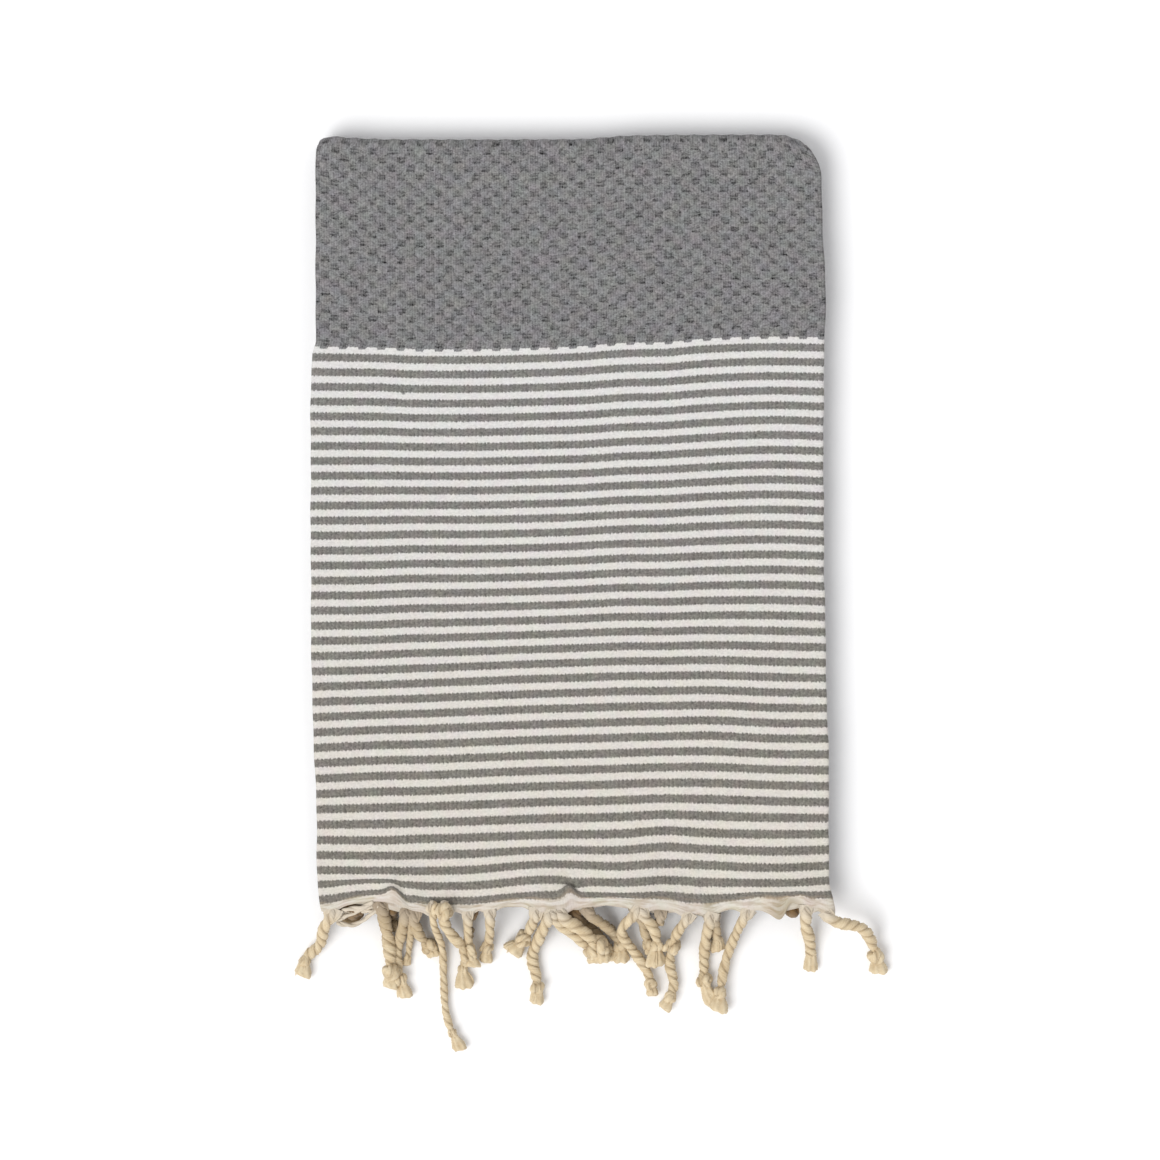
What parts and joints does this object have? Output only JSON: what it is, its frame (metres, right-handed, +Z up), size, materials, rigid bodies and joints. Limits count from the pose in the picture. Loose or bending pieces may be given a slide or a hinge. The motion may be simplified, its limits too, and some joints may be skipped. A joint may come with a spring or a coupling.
{
  "type": "folded hammam towel",
  "caption": "Woven cotton hammam towel folded into a flat stack, honeycomb weave with a striped border and a twisted, knotted fringe.",
  "frame": {"origin": "on the surface that the towel lies on, under the middle of the box round the towel and its fringe", "axes": "+Y from the fringe to the back fold, +X to the right as seen from the fringe, +Z up"},
  "size_m": [0.3854, 0.5954, 0.0284],
  "materials": {
    "cloth": "grey and off-white woven cotton, matte",
    "fringe": "cream twisted cotton cord, matte"
  },
  "bodies": {
    "root": {"towel": "cloth", "fringe_near": "fringe", "fringe_far": "fringe"}
  },
  "joints": []
}
